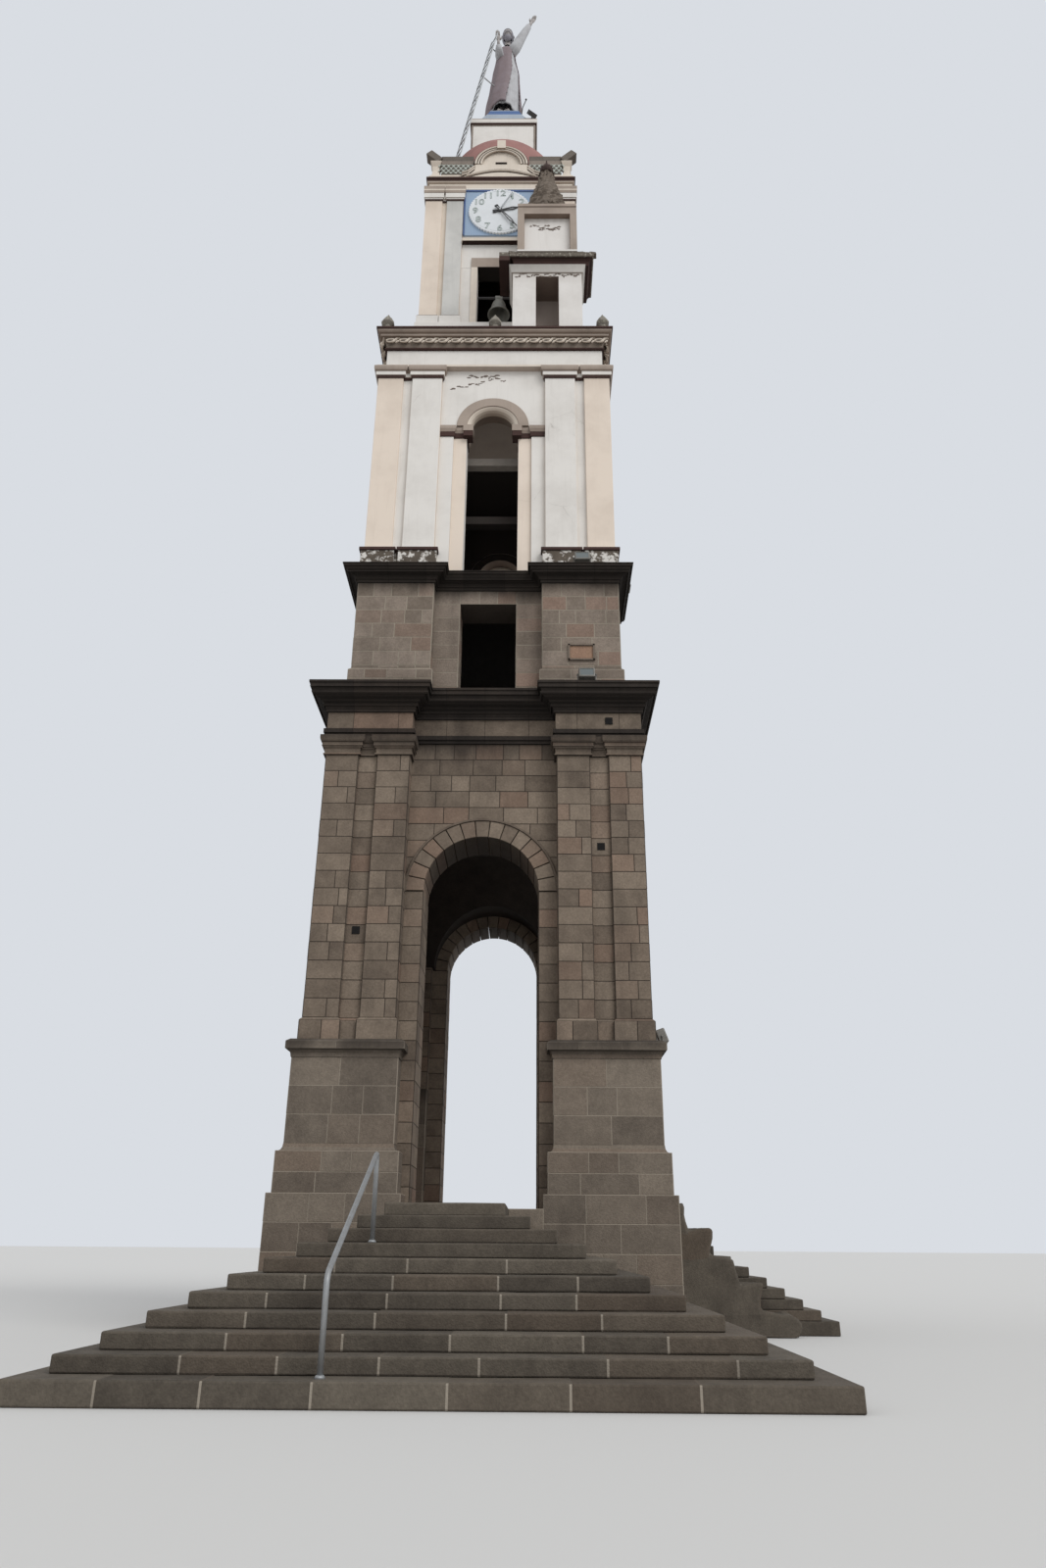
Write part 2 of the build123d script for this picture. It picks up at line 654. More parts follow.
# Belfry: corner piers with paired pilasters, walls, arched openings in two orders
belfry_core = core(BELFRY_HALF_X, BELFRY_HALF_Y, BELFRY_PIER, BELFRY_RECESS, BELFRY_TOP)
belfry_x = BELFRY_HALF_X - BELFRY_PIER
belfry_y = BELFRY_HALF_Y - BELFRY_PIER
belfry_face_x = BELFRY_HALF_X - BELFRY_RECESS
belfry_face_y = BELFRY_HALF_Y - BELFRY_RECESS
belfry_room_x = belfry_face_x - BELFRY_WALL
belfry_room_y = belfry_face_y - BELFRY_WALL
belfry_plan = pier_outline(
    BELFRY_HALF_X,
    BELFRY_HALF_Y,
    BELFRY_PIER,
    BELFRY_STRIP,
    BELFRY_STRIP_DEPTH,
    BELFRY_STRIP_OFFSET,
)
belfry_pier = moulded(
    belfry_plan,
    [
        (ATTIC_TOP, 60),
        (BELFRY_PLINTH_TOP - 70, 60),
        (BELFRY_PLINTH_TOP - 70, 90),
        (BELFRY_PLINTH_TOP, 90),
        (BELFRY_PLINTH_TOP, 0),
        (BELFRY_SHAFT_TOP, 0),
        (BELFRY_SHAFT_TOP, 25),
        (BELFRY_SHAFT_TOP + 60, 25),
        (BELFRY_SHAFT_TOP + 60, 50),
        (BELFRY_SHAFT_TOP + 160, 50),
        *ovolo(BELFRY_SHAFT_TOP + 160, BELFRY_WALL_TOP - 60, 60, 90),
        (BELFRY_WALL_TOP, 90),
    ],
)
save("belfry_piers", four_corners(belfry_pier - belfry_core))


def wall_strips(face, room, inner, outer, low, high, impost, impost_grow):
    """One wall strip beside an end opening at +X, with a moulded impost block at its top."""
    strip = moulded(
        rectangle(inner, outer, -face, -room),
        [
            (low, 0),
            (high - impost, 0),
            (high - impost, impost_grow / 2),
            (high - impost * 0.6, impost_grow / 2),
            (high - impost * 0.3, impost_grow),
            (high, impost_grow),
        ],
    )
    return strip - block(outer, outer + impost_grow, -face - impost_grow, impost_grow - room, low, high)


end_order = BELFRY_END_OPENING + BELFRY_JAMB
side_order = BELFRY_SIDE_OPENING + BELFRY_JAMB
belfry_strips = []
belfry_jambs = []
belfry_rings = []
belfry_heads = []
for opening, order, pier_edge, copies in (
    (BELFRY_END_OPENING, end_order, belfry_x, end_pair),
    (BELFRY_SIDE_OPENING, side_order, belfry_y, side_pair),
):
    strip = wall_strips(
        BELFRY_WALL, 0, order, pier_edge, ATTIC_TOP, BELFRY_SPRING, IMPOST_DEPTH, IMPOST_GROW
    )
    behind_wall = block(0, pier_edge, 0, 2 * IMPOST_GROW, ATTIC_TOP, BELFRY_SPRING)
    strip -= behind_wall
    jamb_face = BELFRY_WALL - JAMB_SETBACK
    jamb = wall_strips(
        jamb_face, 0, opening, order, ATTIC_TOP, BELFRY_SPRING, IMPOST_DEPTH, IMPOST_GROW
    )
    jamb -= behind_wall
    strip -= jamb
    head = block(-pier_edge, pier_edge, -BELFRY_WALL, 0, BELFRY_SPRING, BELFRY_WALL_TOP)
    head -= half_round(opening + ARCHIVOLT, 4 * BELFRY_WALL, "Y", BELFRY_SPRING)
    ring = Circle(opening + ARCHIVOLT) - Circle(opening)
    ring = Plane.XZ * ring
    ring = Pos(0, -BELFRY_WALL - IMPOST_GROW / 2, BELFRY_SPRING) * extrude(
        ring, amount=-BELFRY_WALL - IMPOST_GROW / 2
    )
    ring &= block(-2 * order, 2 * order, -2 * BELFRY_WALL, 0, BELFRY_SPRING, BELFRY_TOP)
    for pieces, made in (
        (belfry_strips, [strip, mirror(strip, Plane.YZ)]),
        (belfry_jambs, [jamb, mirror(jamb, Plane.YZ)]),
        (belfry_heads, [head]),
        (belfry_rings, [ring]),
    ):
        for piece in made:
            if copies is end_pair:
                placed = Pos(0, -belfry_room_y, 0) * piece
            else:
                placed = Pos(belfry_room_x, 0, 0) * Rot(0, 0, 90) * piece
            pieces += copies(placed)
save("belfry_walls", belfry_strips)
save("belfry_spandrels", belfry_heads)
save("belfry_jambs", belfry_jambs)
save("belfry_archivolts", belfry_rings)

# Timber beams across the belfry behind the end openings, seated between the piers
beams = []
for level in BEAM_LEVELS:
    beam_y = belfry_room_y - BEAM_SETBACK
    beams += end_pair(block(-belfry_x, belfry_x, -beam_y, -beam_y + BEAM, level, level + BEAM))
save("belfry_beams", beams)

# Belfry entablature, with the ornament band on its hollow, and the terrace on top
belfry_entablature = moulded(
    rectangle(-BELFRY_HALF_X, BELFRY_HALF_X, -BELFRY_HALF_Y, BELFRY_HALF_Y),
    [
        (BELFRY_WALL_TOP, 40),
        (BELFRY_WALL_TOP + 60, 40),
        (BELFRY_WALL_TOP + 60, -BELFRY_FRIEZE_SETBACK),
        (BELFRY_FRIEZE_TOP, -BELFRY_FRIEZE_SETBACK),
        (BELFRY_FRIEZE_TOP, -BELFRY_FRIEZE_SETBACK + 50),
        (BELFRY_FRIEZE_TOP + 50, -BELFRY_FRIEZE_SETBACK + 50),
        *cove(BELFRY_FRIEZE_TOP + 50, BELFRY_HOLLOW_TOP, -BELFRY_FRIEZE_SETBACK + 20, -20),
        (BELFRY_HOLLOW_TOP, 20),
        (BELFRY_HOLLOW_TOP + 60, 20),
        *ovolo(BELFRY_HOLLOW_TOP + 60, BELFRY_TOP - 60, 30, BELFRY_CORNICE_REACH - 20),
        (BELFRY_TOP - 60, BELFRY_CORNICE_REACH),
        (BELFRY_TOP, BELFRY_CORNICE_REACH),
    ],
)
save("belfry_entablature", [belfry_entablature])

# Stone finials along the terrace edge
edge_x = BELFRY_HALF_X + BELFRY_CORNICE_REACH - FINIAL_INSET - FINIAL_RADIUS
edge_y = BELFRY_HALF_Y + BELFRY_CORNICE_REACH - FINIAL_INSET - FINIAL_RADIUS
finial_half = make_face(
    Polyline(
        (0, 0),
        (FINIAL_RADIUS, 0),
        (FINIAL_RADIUS, FINIAL_HEIGHT * 0.1),
        (FINIAL_RADIUS * 0.5, FINIAL_HEIGHT * 0.2),
        (FINIAL_RADIUS * 0.5, FINIAL_HEIGHT * 0.4),
        (FINIAL_RADIUS * 0.95, FINIAL_HEIGHT * 0.5),
        (FINIAL_RADIUS * 0.45, FINIAL_HEIGHT * 0.85),
        (0, FINIAL_HEIGHT),
        close=True,
    )
)
finial = revolve(Plane.XZ * finial_half, axis=Axis.Z)
finial_places = [(x, y) for x in (-edge_x, 0, edge_x) for y in (-edge_y, 0, edge_y) if x or y]
save("terrace_finials", [Pos(x, y, BELFRY_TOP) * finial for x, y in finial_places])

# Turrets on the two +X corners: a kiosk with a niche, a block with a cap, and a cone
plinth_x = CLOCK_HALF_X + CLOCK_PLINTH_GROW
plinth_y = CLOCK_HALF_Y + CLOCK_PLINTH_GROW
kiosk = moulded(
    rectangle(TURRET_X - KIOSK_HALF, TURRET_X + KIOSK_HALF, -TURRET_FRONT, -plinth_y),
    [
        (BELFRY_TOP, 0),
        (KIOSK_TOP - 200, 0),
        (KIOSK_TOP - 200, 30),
        (KIOSK_TOP, 90),
    ],
)
kiosk += moulded(
    rectangle(
        TURRET_X - KIOSK_HALF + KIOSK_CORNICE_LEFT,
        TURRET_X + KIOSK_HALF + KIOSK_CORNICE_RIGHT,
        -TURRET_FRONT,
        -plinth_y,
    ),
    [
        (KIOSK_TOP, 40),
        *cove(KIOSK_TOP + 60, KIOSK_TOP + 180, 50, KIOSK_CORNICE_REACH - 30),
        (KIOSK_TOP + 180, KIOSK_CORNICE_REACH),
        (KIOSK_TOP + KIOSK_CORNICE, KIOSK_CORNICE_REACH),
    ],
)
kiosk -= block(
    TURRET_X - KIOSK_NICHE_HALF,
    TURRET_X + KIOSK_NICHE_HALF,
    -TURRET_FRONT,
    KIOSK_NICHE_DEPTH - TURRET_FRONT,
    KIOSK_NICHE_SILL,
    KIOSK_NICHE_HEAD,
)
block_base = KIOSK_TOP + KIOSK_CORNICE
turret_block = moulded(
    rectangle(
        TURRET_X - TURRET_BLOCK_HALF,
        TURRET_X + TURRET_BLOCK_HALF,
        -TURRET_FRONT,
        TURRET_BLOCK_DEPTH - TURRET_FRONT,
    ),
    [
        (block_base, 0),
        (TURRET_BLOCK_TOP, 0),
        (TURRET_BLOCK_TOP, 40),
        *cove(TURRET_BLOCK_TOP + 20, TURRET_BLOCK_TOP + 100, 60, 130),
        (TURRET_BLOCK_TOP + 100, 160),
        (TURRET_BLOCK_TOP + TURRET_CAP, 160),
    ],
)
behind = block(-2 * plinth_x, 2 * plinth_x, -plinth_y, plinth_y, BELFRY_TOP, SPIKE_TOP)
save("turrets", end_pair(kiosk + turret_block - behind))
cone_base = TURRET_BLOCK_TOP + TURRET_CAP
cone_side = ThreePointArc(
    (CONE_RADIUS, cone_base + 60),
    (CONE_RADIUS * 0.56, cone_base + (CONE_TOP - cone_base) * 0.5),
    (CONE_NECK, CONE_TOP),
)
ball_z = CONE_TOP + BALL_RADIUS * 0.75
cone_face = make_face(
    Curve()
    + [
        Polyline((0, CONE_TOP), (0, cone_base), (CONE_RADIUS, cone_base), (CONE_RADIUS, cone_base + 60)),
        cone_side,
        Line((CONE_NECK, CONE_TOP), (0, CONE_TOP)),
    ]
)
cone = revolve(Plane.XZ * cone_face, axis=Axis.Z)
cone += Pos(0, 0, ball_z) * Sphere(BALL_RADIUS)
spike_base = ball_z + BALL_RADIUS * 0.8
cone += Pos(0, 0, (spike_base + SPIKE_TOP) / 2) * Cone(BALL_RADIUS * 0.4, 12, SPIKE_TOP - spike_base)
cone_place = Pos(TURRET_X, TURRET_BLOCK_DEPTH / 2 - TURRET_FRONT, 0)
save("turret_cones", end_pair(cone_place * cone))

# Clock stage: plinth walls, bell floor, corner piers, walls beside and over the bell openings
clock_x = CLOCK_HALF_X - CLOCK_PIER
clock_y = CLOCK_HALF_Y - CLOCK_PIER
clock_face_x = CLOCK_HALF_X - CLOCK_RECESS
clock_face_y = CLOCK_HALF_Y - CLOCK_RECESS
clock_room_x = clock_face_x - CLOCK_WALL
clock_room_y = clock_face_y - CLOCK_WALL
plinth = block(-plinth_x, plinth_x, -plinth_y, plinth_y, BELFRY_TOP, CLOCK_FLOOR)
plinth -= block(
    -clock_room_x, clock_room_x, -clock_room_y, clock_room_y, BELFRY_TOP, CLOCK_FLOOR
)
save("clock_plinth", [plinth])
save(
    "bell_floor",
    [
        block(
            -clock_room_x,
            clock_room_x,
            -clock_room_y,
            clock_room_y,
            CLOCK_FLOOR - BELL_FLOOR_THICK,
            CLOCK_FLOOR,
        )
    ],
)
clock_core = core(CLOCK_HALF_X, CLOCK_HALF_Y, CLOCK_PIER, CLOCK_RECESS, CLOCK_TOP)
clock_plan = pier_outline(
    CLOCK_HALF_X,
    CLOCK_HALF_Y,
    CLOCK_PIER,
    CLOCK_STRIP,
    CLOCK_STRIP_DEPTH,
    CLOCK_STRIP_OFFSET,
)
clock_pier = moulded(
    clock_plan,
    [
        (CLOCK_FLOOR, 50),
        (CLOCK_BASE_TOP - 50, 50),
        (CLOCK_BASE_TOP, 15),
        (CLOCK_BASE_TOP, 0),
        (CLOCK_SHAFT_TOP, 0),
        (CLOCK_SHAFT_TOP, 20),
        (CLOCK_SHAFT_TOP + 90, 20),
        (CLOCK_SHAFT_TOP + 90, 40),
        (CLOCK_SHAFT_TOP + 250, 40),
        *ovolo(CLOCK_SHAFT_TOP + 250, CLOCK_WALL_TOP - 120, 45, 55),
        (CLOCK_WALL_TOP, 55),
    ],
)
clock_corners = four_corners(clock_pier - clock_core)
save("clock_piers", clock_corners)


def clock_side(pier_edge):
    """Wall pieces of one clock side seen from -Y: the strip beside the opening and the head over it."""
    opening = BELL_OPENING_HALF
    strip = block(opening, pier_edge, -CLOCK_WALL, 0, CLOCK_FLOOR, BELL_OPENING_HEAD)
    strip += block(
        opening,
        opening + FRAME_WIDTH,
        -CLOCK_WALL - FRAME_PROUD,
        -CLOCK_WALL,
        CLOCK_FLOOR,
        BELL_OPENING_HEAD,
    )
    head = block(-pier_edge, pier_edge, -CLOCK_WALL, 0, BELL_OPENING_HEAD, CLOCK_WALL_TOP)
    frame = opening + FRAME_WIDTH
    head += block(
        -frame,
        frame,
        -CLOCK_WALL - FRAME_PROUD,
        -CLOCK_WALL,
        BELL_OPENING_HEAD,
        BELL_OPENING_HEAD + FRAME_HEAD,
    )
    ledge_half = min(pier_edge, PANEL_HALF)
    head += block(
        -ledge_half,
        ledge_half,
        -CLOCK_WALL - LEDGE_PROUD,
        -CLOCK_WALL,
        LEDGE_BOTTOM,
        LEDGE_TOP,
    )
    return [strip, mirror(strip, Plane.YZ)], [head]


def on_end(piece):
    """Sets a piece of a clock side on the two end walls."""
    return end_pair(Pos(0, -clock_room_y, 0) * piece)


def on_side(piece):
    """Sets a piece of a clock side on the two side walls."""
    return side_pair(Pos(clock_room_x, 0, 0) * Rot(0, 0, 90) * piece)


clock_strips = []
clock_heads = []
for pier_edge, place in ((clock_x, on_end), (clock_y, on_side)):
    strips, heads = clock_side(pier_edge)
    clock_strips += [placed for piece in strips for placed in place(piece)]
    clock_heads += [placed for piece in heads for placed in place(piece)]
save("clock_walls", clock_strips)
save("clock_wall_heads", clock_heads)

# Clock panels and dials on all four sides, each dial with a fixed spindle
panels = []
dials = []
dial_front = -CLOCK_WALL - PANEL_THICK - DIAL_THICK
hour_back = dial_front - HAND_GAP
minute_back = hour_back - HAND_THICK - HAND_GAP
spindle_front = minute_back - HAND_THICK - HAND_GAP
for pier_edge, place in ((clock_x, on_end), (clock_y, on_side)):
    panel_half = min(PANEL_HALF, pier_edge - 15)
    panel = block(
        -panel_half, panel_half, -CLOCK_WALL - PANEL_THICK, -CLOCK_WALL, PANEL_BOTTOM, PANEL_TOP
    )
    disc = Pos(0, -CLOCK_WALL - PANEL_THICK - DIAL_THICK / 2, DIAL_Z) * Rot(90, 0, 0)
    dial = disc * Cylinder(DIAL_RADIUS, DIAL_THICK)
    length = dial_front - spindle_front
    dial += Pos(0, dial_front - length / 2, DIAL_Z) * Rot(90, 0, 0) * Cylinder(SPINDLE_RADIUS, length)
    panels += place(panel)
    dials += place(dial)
save("clock_panels", [panel - clock_corners for panel in panels])
save("clock_dials", dials)


def hand(length, width, back, angle):
    """A clock hand with a tail, bored for the spindle, turned clockwise from twelve by angle."""
    blade = make_face(
        Polyline(
            (-width / 2, -HAND_TAIL),
            (width / 2, -HAND_TAIL),
            (width * 0.3, 0),
            (width / 2, length * 0.8),
            (0, length),
            (-width / 2, length * 0.8),
            (-width * 0.3, 0),
            close=True,
        )
    )
    plate = blade + Circle(HUB_RADIUS) - Circle(SPINDLE_RADIUS + BORE_CLEARANCE)
    solid = extrude(Plane.XZ * plate, amount=HAND_THICK)
    return Pos(0, back, DIAL_Z) * Rot(0, angle, 0) * solid


minute = hand(MINUTE_LENGTH, 70, minute_back, MINUTE_ANGLE)
hour = hand(HOUR_LENGTH, 90, hour_back, HOUR_ANGLE)
near_minute = Pos(0, -clock_room_y, 0) * minute
near_hour = Pos(0, -clock_room_y, 0) * hour
save("minute_hand", [near_minute])
save("hour_hand", [near_hour])
far_turn = Rot(0, 0, 180)
others = [far_turn * near_minute, far_turn * near_hour]
for item in (minute, hour):
    right_side = Pos(clock_room_x, 0, 0) * Rot(0, 0, 90) * item
    others += [right_side, far_turn * right_side]
save("other_clock_hands", others)

# Bell hung in the near opening on a fixed bar, free to swing
bell_y = BELL_SETBACK - clock_face_y
bar = Rot(0, 90, 0) * Cylinder(BELL_BAR_RADIUS, 2 * BELL_OPENING_HALF)
save("bell_bar", [Pos(0, bell_y, BELL_BAR_Z) * bar])
bell_top = -CROWN_HEIGHT
lip = bell_top - BELL_HEIGHT
outside = Spline(
    (BELL_RADIUS, lip),
    (BELL_RADIUS * 0.72, lip + BELL_HEIGHT * 0.35),
    (BELL_RADIUS * 0.6, lip + BELL_HEIGHT * 0.75),
    (BELL_RADIUS * 0.4, bell_top),
)
inside = Spline(
    (BELL_RADIUS * 0.4 - BELL_WALL, bell_top - BELL_WALL),
    (BELL_RADIUS * 0.6 - BELL_WALL, lip + BELL_HEIGHT * 0.72),
    (BELL_RADIUS * 0.72 - BELL_WALL, lip + BELL_HEIGHT * 0.35),
    (BELL_RADIUS - BELL_WALL, lip),
)
bell_face = make_face(
    Curve()
    + [
        outside,
        Line(outside @ 1, (0, bell_top)),
        Line((0, bell_top), (0, bell_top - BELL_WALL)),
        Line((0, bell_top - BELL_WALL), inside @ 0),
        inside,
        Line(inside @ 1, outside @ 0),
    ]
)
bell = revolve(Plane.XZ * bell_face, axis=Axis.Z)
crown_width = 3 * BELL_BAR_RADIUS
crown = block(-crown_width, crown_width, -crown_width / 2, crown_width / 2, bell_top, 0)
crown += Rot(0, 90, 0) * Cylinder(2 * BELL_BAR_RADIUS, 2 * crown_width)
crown -= Rot(0, 90, 0) * Cylinder(BELL_BAR_RADIUS + BORE_CLEARANCE, 4 * crown_width)
bell += crown
save("bell", [Pos(0, bell_y, BELL_BAR_Z) * bell])

# Clock stage cornice, which is also the roof slab under the dome
clock_cornice = moulded(
    rectangle(-CLOCK_HALF_X, CLOCK_HALF_X, -CLOCK_HALF_Y, CLOCK_HALF_Y),
    [
        (CLOCK_WALL_TOP, -CLOCK_FRIEZE_SETBACK),
        (CLOCK_WALL_TOP + 220, -CLOCK_FRIEZE_SETBACK),
        *ovolo(CLOCK_WALL_TOP + 220, CLOCK_TOP - 90, 10 - CLOCK_FRIEZE_SETBACK, CLOCK_CORNICE_REACH - 20),
        (CLOCK_TOP - 70, CLOCK_CORNICE_REACH - 20),
        (CLOCK_TOP - 70, CLOCK_CORNICE_REACH),
        (CLOCK_TOP, CLOCK_CORNICE_REACH),
    ],
)
save("clock_cornice", [clock_cornice])

# Parapet: panels between the corner posts and a pediment in the middle of each side
parapet_x = CLOCK_HALF_X - PARAPET_SETBACK
parapet_y = CLOCK_HALF_Y - PARAPET_SETBACK
post_x = parapet_x - POST
post_y = parapet_y - POST
end_panel = block(
    PEDIMENT_BASE_HALF,
    post_x,
    PARAPET_PANEL_SETBACK - parapet_y,
    PARAPET_PANEL_SETBACK + PARAPET_THICK - parapet_y,
    CLOCK_TOP,
    PARAPET_TOP,
)
side_panel = block(
    parapet_x - PARAPET_PANEL_SETBACK - PARAPET_THICK,
    parapet_x - PARAPET_PANEL_SETBACK,
    PEDIMENT_BASE_HALF,
    post_y,
    CLOCK_TOP,
    PARAPET_TOP,
)
save("parapet_panels", four_corners(end_panel) + four_corners(side_panel))
crown_arc = ThreePointArc(
    (PEDIMENT_RADIUS, PEDIMENT_CENTRE),
    (0, PEDIMENT_CENTRE + PEDIMENT_RADIUS),
    (-PEDIMENT_RADIUS, PEDIMENT_CENTRE),
)
ramp_top = CLOCK_TOP + 380
pediment_face = make_face(
    Curve()
    + [
        crown_arc,
        Polyline(
            (-PEDIMENT_RADIUS, PEDIMENT_CENTRE),
            (-PEDIMENT_RADIUS, ramp_top),
            (-PEDIMENT_BASE_HALF, CLOCK_TOP + 120),
            (-PEDIMENT_BASE_HALF, CLOCK_TOP),
            (PEDIMENT_BASE_HALF, CLOCK_TOP),
            (PEDIMENT_BASE_HALF, CLOCK_TOP + 120),
            (PEDIMENT_RADIUS, ramp_top),
            (PEDIMENT_RADIUS, PEDIMENT_CENTRE),
        ),
    ]
)
pediment = extrude(Plane.XZ * pediment_face, amount=-PEDIMENT_THICK)
recess_face = make_face(
    Curve()
    + [
        ThreePointArc(
            (PEDIMENT_RADIUS - 130, PEDIMENT_CENTRE),
            (0, PEDIMENT_CENTRE + PEDIMENT_RADIUS - 130),
            (130 - PEDIMENT_RADIUS, PEDIMENT_CENTRE),
        ),
        Line((130 - PEDIMENT_RADIUS, PEDIMENT_CENTRE), (PEDIMENT_RADIUS - 130, PEDIMENT_CENTRE)),
    ]
)
pediment -= extrude(Plane.XZ * recess_face, amount=-60)
pediments = end_pair(Pos(0, -parapet_y, 0) * pediment)
pediments += side_pair(Pos(parapet_x, 0, 0) * Rot(0, 0, 90) * pediment)
save("parapet_pediments", pediments)
scroll_post = moulded(
    rectangle(post_x, parapet_x, post_y, parapet_y),
    [
        (CLOCK_TOP, 30),
        (CLOCK_TOP + 120, 30),
        (CLOCK_TOP + 160, -20),
        (PARAPET_TOP - 60, -20),
        (PARAPET_TOP, 20),
        (PARAPET_TOP + 60, 20),
    ],
)
scroll_post -= block(0, post_x, 0, 2 * CLOCK_HALF_Y, CLOCK_TOP, 2 * PARAPET_TOP)
scroll_post -= block(0, 2 * CLOCK_HALF_X, 0, post_y, CLOCK_TOP, 2 * PARAPET_TOP)
scroll_length, scroll_width, scroll_thick = SCROLL_SIZE
outward = Rot(0, 0, 45) * Rot(0, -SCROLL_TILT, 0)
scroll_seat = Pos(parapet_x - POST / 2, parapet_y - POST / 2, PARAPET_TOP + 60)
slab = scroll_seat * outward * Pos(0, 0, scroll_length / 4) * Box(scroll_length, scroll_width, scroll_thick)
slab -= block(0, post_x, 0, 2 * CLOCK_HALF_Y, CLOCK_TOP, PARAPET_TOP)
slab -= block(0, 2 * CLOCK_HALF_X, 0, post_y, CLOCK_TOP, PARAPET_TOP)
scroll_post += slab
save("corner_scrolls", four_corners(scroll_post))

# Dome: a tall shell on the roof slab, flat at the crown where the pedestal hides it
def dome_curve(radius, height):
    """Half section of the dome, an ellipse from its foot up to the flat crown."""
    crown_angle = degrees(acos(DOME_CROWN / radius))
    points = []
    for i in range(7):
        turn = radians(crown_angle * i / 6)
        points.append((radius * cos(turn), height * sin(turn)))
    return Spline(points, tangents=[(0, 1), (-radius * sin(radians(crown_angle)), height * DOME_CROWN / radius)])


dome_outside = dome_curve(DOME_RADIUS, DOME_HEIGHT)
dome_inside = dome_curve(DOME_RADIUS - DOME_WALL, DOME_HEIGHT - DOME_WALL)
outer_crown = dome_outside @ 1
inner_crown = dome_inside @ 1
shell_face = make_face(
    Curve()
    + [
        dome_outside,
        Polyline(outer_crown, (0, outer_crown.Y), (0, inner_crown.Y), inner_crown),
        dome_inside,
        Line(dome_inside @ 0, dome_outside @ 0),
    ]
)
full_face = make_face(
    Curve() + [dome_outside, Polyline(outer_crown, (0, outer_crown.Y), (0, 0), dome_outside @ 0)]
)
dome = Pos(0, 0, CLOCK_TOP) * revolve(Plane.XZ * shell_face, axis=Axis.Z)
dome_full = Pos(0, 0, CLOCK_TOP) * revolve(Plane.XZ * full_face, axis=Axis.Z)
save("dome", [dome])

# Statue pedestal, coped over the dome, and the statue's own base
statue_pedestal = moulded(
    rectangle(-PEDESTAL_HALF, PEDESTAL_HALF, -PEDESTAL_HALF, PEDESTAL_HALF),
    [
        (PEDESTAL_SEAT, 0),
        (PEDESTAL_CAP, 0),
        *ovolo(PEDESTAL_CAP, PEDESTAL_END - 80, 20, 60),
        (PEDESTAL_END, 60),
    ],
)
statue_pedestal -= dome_full
save("statue_pedestal", [statue_pedestal])
base_wires = []
for level, half in ((PEDESTAL_END, STATUE_BASE_HALF), (STATUE_BASE_TOP, STATUE_BASE_TOP_HALF)):
    corner = half * 0.6
    eight = [(half, -corner), (half, corner), (corner, half), (-corner, half)]
    eight += [(-x, -y) for x, y in eight]
    base_wires.append(Polyline([(x, y, level) for x, y in eight], close=True).wire())
save("statue_base", [Solid.make_loft(base_wires, True)])

# Statue: a robed figure with one arm raised towards +X and the other hand held up in front
body_sections = [
    (0, -60, 510, 390),
    (700, -40, 490, 380),
    (1500, -10, 430, 340),
    (2300, 15, 395, 300),
    (3000, 0, 290, 235),
    (3400, 10, 235, 180),
    (3700, 30, 120, 110),
]
figure = loft([Pos(x, 0, STATUE_BASE_TOP + z) * Ellipse(a, b) for z, x, a, b in body_sections])
head = Vector(HEAD_X, -60, STATUE_TOP - HEAD_HALF)
neck_height = STATUE_TOP - HEAD_HALF - STATUE_BASE_TOP - 3600
figure += Pos(HEAD_X, -20, STATUE_BASE_TOP + 3600 + neck_height / 2) * Cylinder(80, neck_height)
figure += Pos(head.X, head.Y, head.Z) * scale(Sphere(1), by=(0.72 * HEAD_HALF, 0.86 * HEAD_HALF, HEAD_HALF))


def limb(points, radii):
    """A tapered limb through the points, rounded at each joint."""
    made = []
    for start, end, thick_start, thick_end in zip(points, points[1:], radii, radii[1:]):
        line = Vector(*end) - Vector(*start)
        plane = Plane(origin=start, z_dir=line.normalized())
        made.append(loft([plane * Circle(thick_start), plane.offset(line.length) * Circle(thick_end)]))
        made.append(Pos(*end) * Sphere(thick_end))
    return made


raised_arm = [
    (120, 0, STATUE_BASE_TOP + 3300),
    (440, -40, STATUE_TOP - 330),
    (ARM_REACH - 200, -60, ARM_TOP - 560),
    (ARM_REACH - 60, -60, ARM_TOP - 90),
]
front_arm = [
    (-110, 0, STATUE_BASE_TOP + 3350),
    (-300, -150, STATUE_BASE_TOP + 3200),
    (-270, -340, STATUE_BASE_TOP + 3800),
]
for piece in limb(raised_arm, (150, 120, 70, 70)) + limb(front_arm, (130, 110, 70)):
    figure += piece
save("statue", [figure])

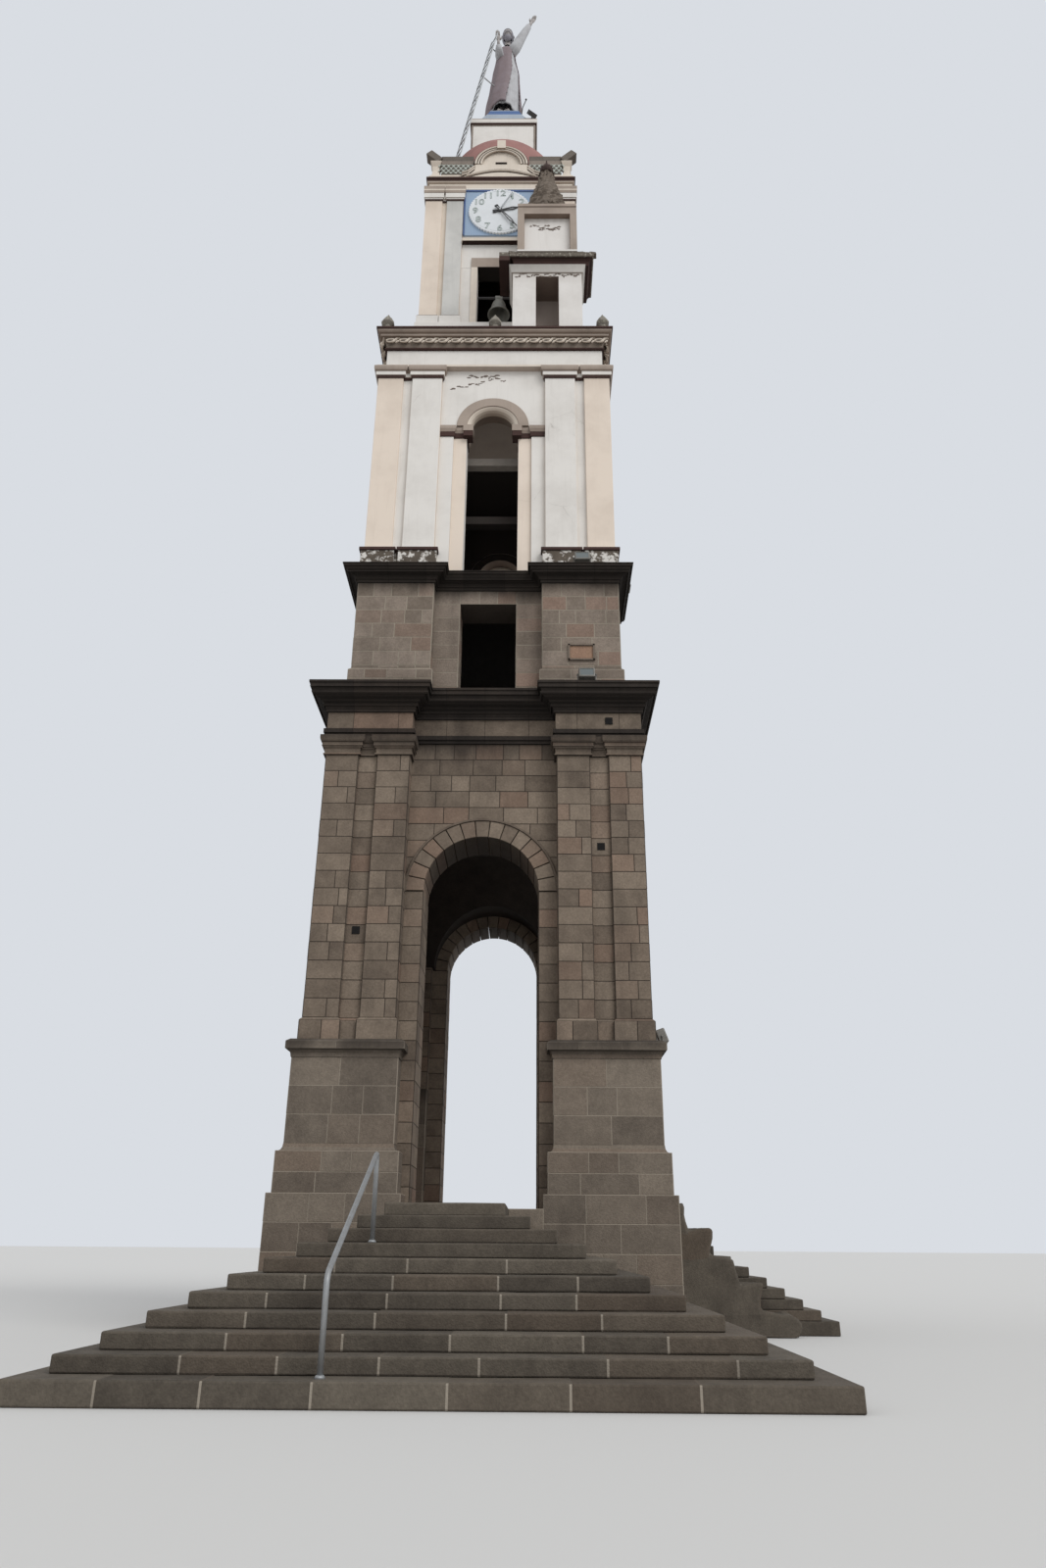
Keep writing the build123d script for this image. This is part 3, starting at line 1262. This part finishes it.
# Ladder: two rails with rungs, leaning from the roof to the statue and tied to it by two struts
rail_low = Vector(LADDER_FOOT_X, LADDER_FOOT_Y, CLOCK_TOP)
rail_high = Vector(LADDER_HEAD_X, LADDER_HEAD_Y, LADDER_HEAD_Z)
climb = (rail_high - rail_low).normalized()
across = Vector(-climb.Y, climb.X).normalized() * -1
foot = rail_low - climb * LADDER_WIDTH
ladder_length = (rail_high - foot).length
ladder = block(0, LADDER_BAR, 0, LADDER_BAR, 0, ladder_length)
ladder += block(LADDER_WIDTH - LADDER_BAR, LADDER_WIDTH, 0, LADDER_BAR, 0, ladder_length)
for i in range(1, LADDER_RUNGS + 1):
    rung_z = ladder_length * i / (LADDER_RUNGS + 0.5)
    ladder += block(LADDER_BAR, LADDER_WIDTH - LADDER_BAR, 0, LADDER_BAR, rung_z, rung_z + LADDER_BAR)
ladder = Plane(origin=foot, x_dir=across, z_dir=climb) * ladder
ladder -= block(-HALF_X, HALF_X, -HALF_Y, HALF_Y, CLOCK_WALL_TOP, CLOCK_TOP)
for level in STRUT_LEVELS:
    tie = foot + climb * ((level - foot.Z) / climb.Z) + across * (LADDER_BAR / 2)
    reach = Vector(-tie.X, -tie.Y).length
    bearing = degrees(atan2(-tie.Y, -tie.X))
    strut = block(0, reach, -LADDER_BAR / 2, LADDER_BAR / 2, -LADDER_BAR / 2, LADDER_BAR / 2)
    ladder += Pos(tie.X, tie.Y, tie.Z) * Rot(0, 0, bearing) * strut - figure
save("ladder", [ladder])


def lamp(x, y, z):
    """A floodlight housing on a short bracket that stands on the level z."""
    width, depth, height = LAMP
    housing = Pos(0, 0, height * 0.75) * Rot(-20, 0, 0) * Box(width, depth, height)
    bracket = block(-30, 30, -30, 30, 0, height * 0.75)
    foot = block(-70, 70, -70, 70, 0, 15)
    return Pos(x, y, z) * (housing + bracket + foot)


attic_edge = ATTIC_HALF_Y + ATTIC_CORNICE_REACH - 130
entablature_edge = HALF_Y + CORNICE_REACH - 150
lamps = [
    lamp(1830, -attic_edge, ATTIC_TOP),
    lamp(1860, -entablature_edge, ENTABLATURE_TOP),
    lamp(PEDESTAL_HALF - 180, -PEDESTAL_HALF + 180, PEDESTAL_END),
]
save("floodlights", lamps)
